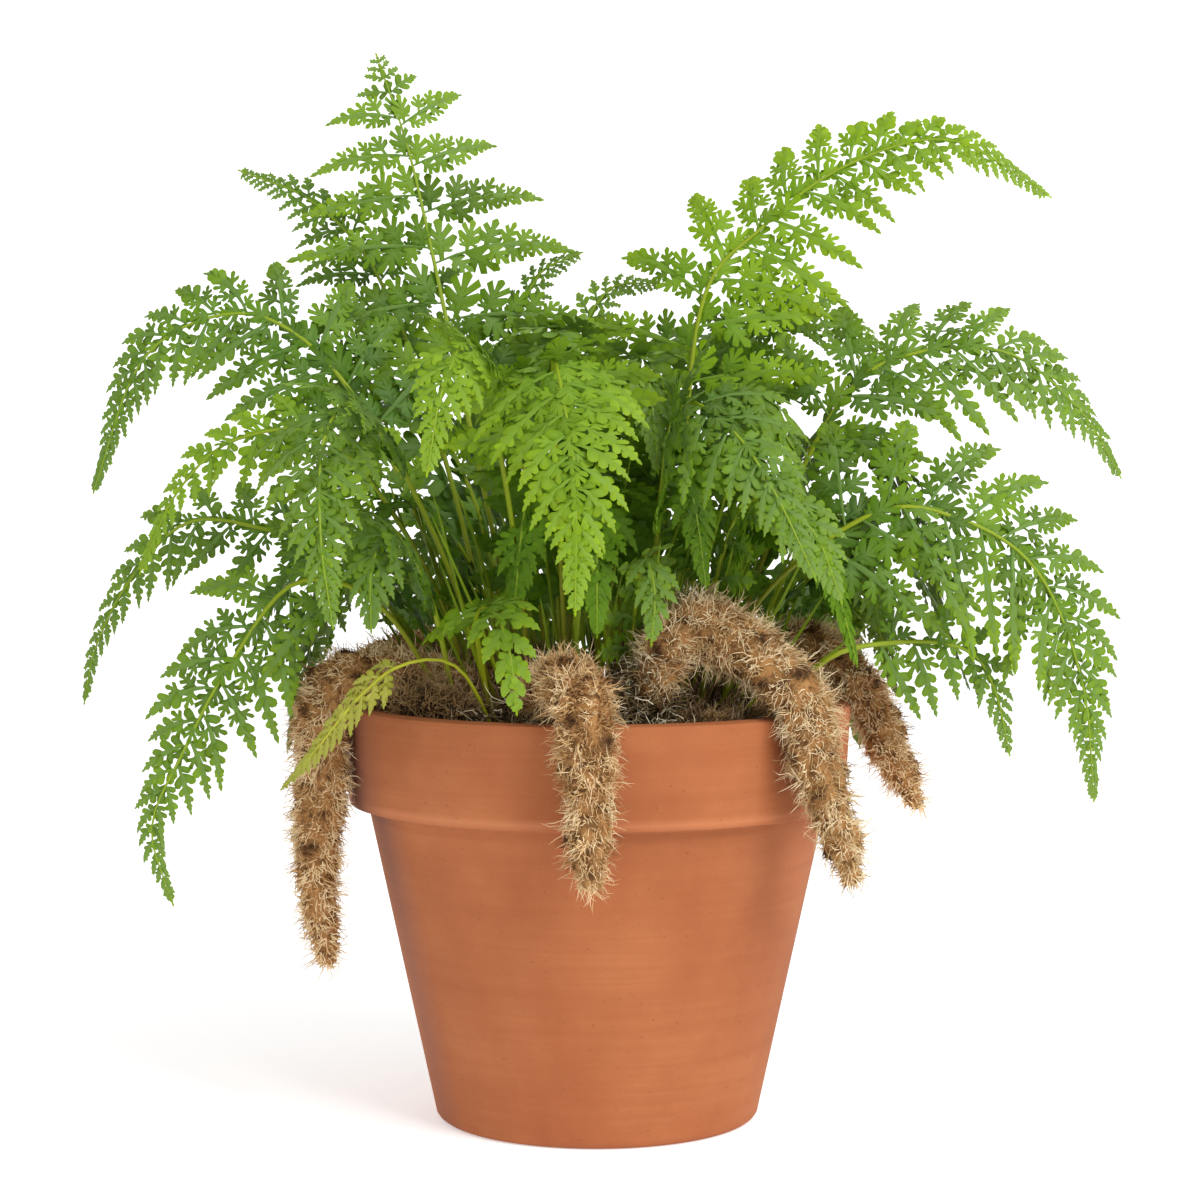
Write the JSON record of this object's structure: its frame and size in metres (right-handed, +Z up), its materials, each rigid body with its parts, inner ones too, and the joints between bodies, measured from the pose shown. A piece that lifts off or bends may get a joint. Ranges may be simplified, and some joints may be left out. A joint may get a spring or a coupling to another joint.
{
  "type": "potted rabbits foot fern",
  "caption": "Rabbit's foot fern with lacy arching fronds on wiry stipes and furry rhizomes hanging over the rim of a tapered, collared terracotta pot of compost.",
  "frame": {"origin": "middle of the underside of the pot, where it rests", "axes": "+Z up along the pot's axis; -Y is the side with the three front rhizomes; +X is to the right seen from that side"},
  "size_m": [0.3336, 0.2343, 0.338],
  "materials": {
    "terracotta": "matte",
    "compost": "matte",
    "rhizome_fur": "matte",
    "frond_fresh": "matte",
    "frond_mid": "matte",
    "frond_deep": "matte",
    "frond_dark": "matte",
    "frond_yellow": "matte"
  },
  "bodies": {
    "root": {"pot": "terracotta", "compost": "compost", "rhizome_left": "rhizome_fur", "rhizome_left_back": "rhizome_fur", "rhizome_front": "rhizome_fur", "rhizome_front_right": "rhizome_fur", "rhizome_right": "rhizome_fur", "rhizome_back_left": "rhizome_fur", "rhizome_back_right": "rhizome_fur", "rhizome_creeping_left": "rhizome_fur", "rhizome_creeping_right": "rhizome_fur", "frond_01": "frond_mid", "frond_02": "frond_fresh", "frond_03": "frond_fresh", "frond_04": "frond_mid", "frond_05": "frond_mid", "frond_06": "frond_mid", "frond_07": "frond_deep", "frond_08": "frond_mid", "frond_09": "frond_fresh", "frond_10": "frond_mid", "frond_11": "frond_fresh", "frond_12": "frond_deep", "frond_13": "frond_mid", "frond_14": "frond_fresh", "frond_15": "frond_yellow", "frond_16": "frond_deep", "frond_17": "frond_mid", "frond_18": "frond_deep", "frond_19": "frond_mid", "frond_20": "frond_dark", "frond_21": "frond_mid", "frond_22": "frond_deep", "frond_23": "frond_mid", "frond_24": "frond_dark", "frond_25": "frond_dark", "frond_26": "frond_dark", "frond_27": "frond_dark", "frond_28": "frond_dark", "frond_29": "frond_deep", "frond_30": "frond_deep", "frond_31": "frond_mid", "frond_32": "frond_mid", "frond_33": "frond_mid", "frond_34": "frond_deep", "frond_35": "frond_mid", "frond_36": "frond_mid", "frond_37": "frond_deep", "frond_38": "frond_deep", "frond_39": "frond_mid", "frond_40": "frond_mid", "frond_41": "frond_deep", "frond_42": "frond_deep", "frond_43": "frond_fresh", "frond_44": "frond_mid", "frond_45": "frond_mid"}
  },
  "joints": []
}
